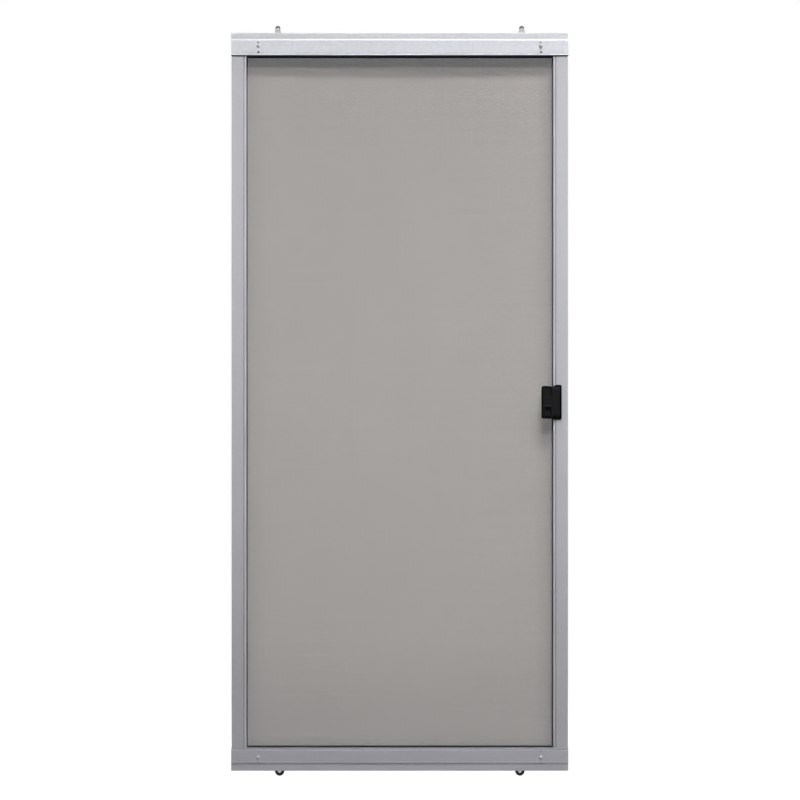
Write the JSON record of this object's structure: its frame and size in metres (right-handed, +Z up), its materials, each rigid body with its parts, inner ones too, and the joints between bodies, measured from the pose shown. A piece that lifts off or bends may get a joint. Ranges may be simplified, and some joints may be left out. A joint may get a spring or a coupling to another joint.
{
  "type": "sliding screen door",
  "caption": "Sliding screen door panel: roll-formed metal frame with fine mesh in a spline channel, adjustable rollers above and below, and a latch handle with a thumb lever.",
  "frame": {"origin": "middle of the bottom rail's lower edge face, on the panel's mid plane", "axes": "+X across the panel to the latch side, +Y from outside to inside, +Z up"},
  "size_m": [0.9144, 0.0537, 2.0361],
  "materials": {
    "frame_paint": "satin light grey paint",
    "mesh": "coated grey yarn",
    "spline": "matte",
    "zinc": "zinc plated",
    "rivet_steel": "plain",
    "wheel_black": "matte",
    "handle_black": "fine satin"
  },
  "bodies": {
    "frame": {"left_stile": "frame_paint", "right_stile": "frame_paint", "bottom_rail": "frame_paint", "top_rail": "frame_paint", "screen_mesh": "mesh", "left_spline": "spline", "right_spline": "spline", "bottom_spline": "spline", "top_spline": "spline", "bottom_left_key": "zinc", "bottom_right_key": "zinc", "top_left_key": "zinc", "top_right_key": "zinc", "bottom_left_housing": "zinc", "bottom_left_rivets": "rivet_steel", "bottom_left_clamp_screw": "rivet_steel", "bottom_right_housing": "zinc", "bottom_right_rivets": "rivet_steel", "bottom_right_clamp_screw": "rivet_steel", "top_left_housing": "zinc", "top_left_rivets": "rivet_steel", "top_left_clamp_screw": "rivet_steel", "top_right_housing": "zinc", "top_right_rivets": "rivet_steel", "top_right_clamp_screw": "rivet_steel", "outside_handle": "handle_black", "inside_pull": "handle_black", "latch_case": "handle_black", "hook_pin": "zinc", "handle_screws": "zinc"},
    "bottom_left_arm": {"bottom_left_arm": "zinc", "bottom_left_axle": "rivet_steel"},
    "bottom_left_wheel": {"bottom_left_wheel": "wheel_black"},
    "bottom_right_arm": {"bottom_right_arm": "zinc", "bottom_right_axle": "rivet_steel"},
    "bottom_right_wheel": {"bottom_right_wheel": "wheel_black"},
    "top_left_arm": {"top_left_arm": "zinc", "top_left_axle": "rivet_steel"},
    "top_left_wheel": {"top_left_wheel": "wheel_black"},
    "top_right_arm": {"top_right_arm": "zinc", "top_right_axle": "rivet_steel"},
    "top_right_wheel": {"top_right_wheel": "wheel_black"},
    "thumb_lever": {"thumb_lever": "handle_black"},
    "latch_hook": {"latch_hook": "zinc"}
  },
  "joints": [
    {"name": "bottom_left_arm_pivot", "type": "hinge", "parent": "frame", "child": "bottom_left_arm", "pos_m": [-0.3832, 0, 0.036], "axis": [0, 1, 0], "range_deg": [-4, 4]},
    {"name": "bottom_left_wheel_spin", "type": "hinge", "parent": "bottom_left_arm", "child": "bottom_left_wheel", "pos_m": [-0.3262, 0, -0.002], "axis": [0, 1, 0], "continuous": true},
    {"name": "bottom_right_arm_pivot", "type": "hinge", "parent": "frame", "child": "bottom_right_arm", "pos_m": [0.3832, 0, 0.036], "axis": [0, -1, 0], "range_deg": [-4, 4]},
    {"name": "bottom_right_wheel_spin", "type": "hinge", "parent": "bottom_right_arm", "child": "bottom_right_wheel", "pos_m": [0.3262, 0, -0.002], "axis": [0, 1, 0], "continuous": true},
    {"name": "top_left_arm_pivot", "type": "hinge", "parent": "frame", "child": "top_left_arm", "pos_m": [-0.3832, 0, 1.966], "axis": [0, -1, 0], "range_deg": [-6, 2]},
    {"name": "top_left_wheel_spin", "type": "hinge", "parent": "top_left_arm", "child": "top_left_wheel", "pos_m": [-0.3312, 0, 2.0148], "axis": [0, 1, 0], "continuous": true},
    {"name": "top_right_arm_pivot", "type": "hinge", "parent": "frame", "child": "top_right_arm", "pos_m": [0.3832, 0, 1.966], "axis": [0, 1, 0], "range_deg": [-6, 2]},
    {"name": "top_right_wheel_spin", "type": "hinge", "parent": "top_right_arm", "child": "top_right_wheel", "pos_m": [0.3312, 0, 2.0148], "axis": [0, 1, 0], "continuous": true},
    {"name": "thumb_lever_slide", "type": "slide", "parent": "frame", "child": "thumb_lever", "axis": [0, 0, 1], "range_m": [0, 0.008]},
    {"name": "latch_hook_swing", "type": "hinge", "parent": "frame", "child": "latch_hook", "pos_m": [0.437, 0, 0.985], "axis": [0, 1, 0], "range_deg": [0, 80]}
  ],
  "couplings": [
    {"joint": "latch_hook_swing", "follows": "thumb_lever_slide", "rad_per_m": 174.53}
  ]
}
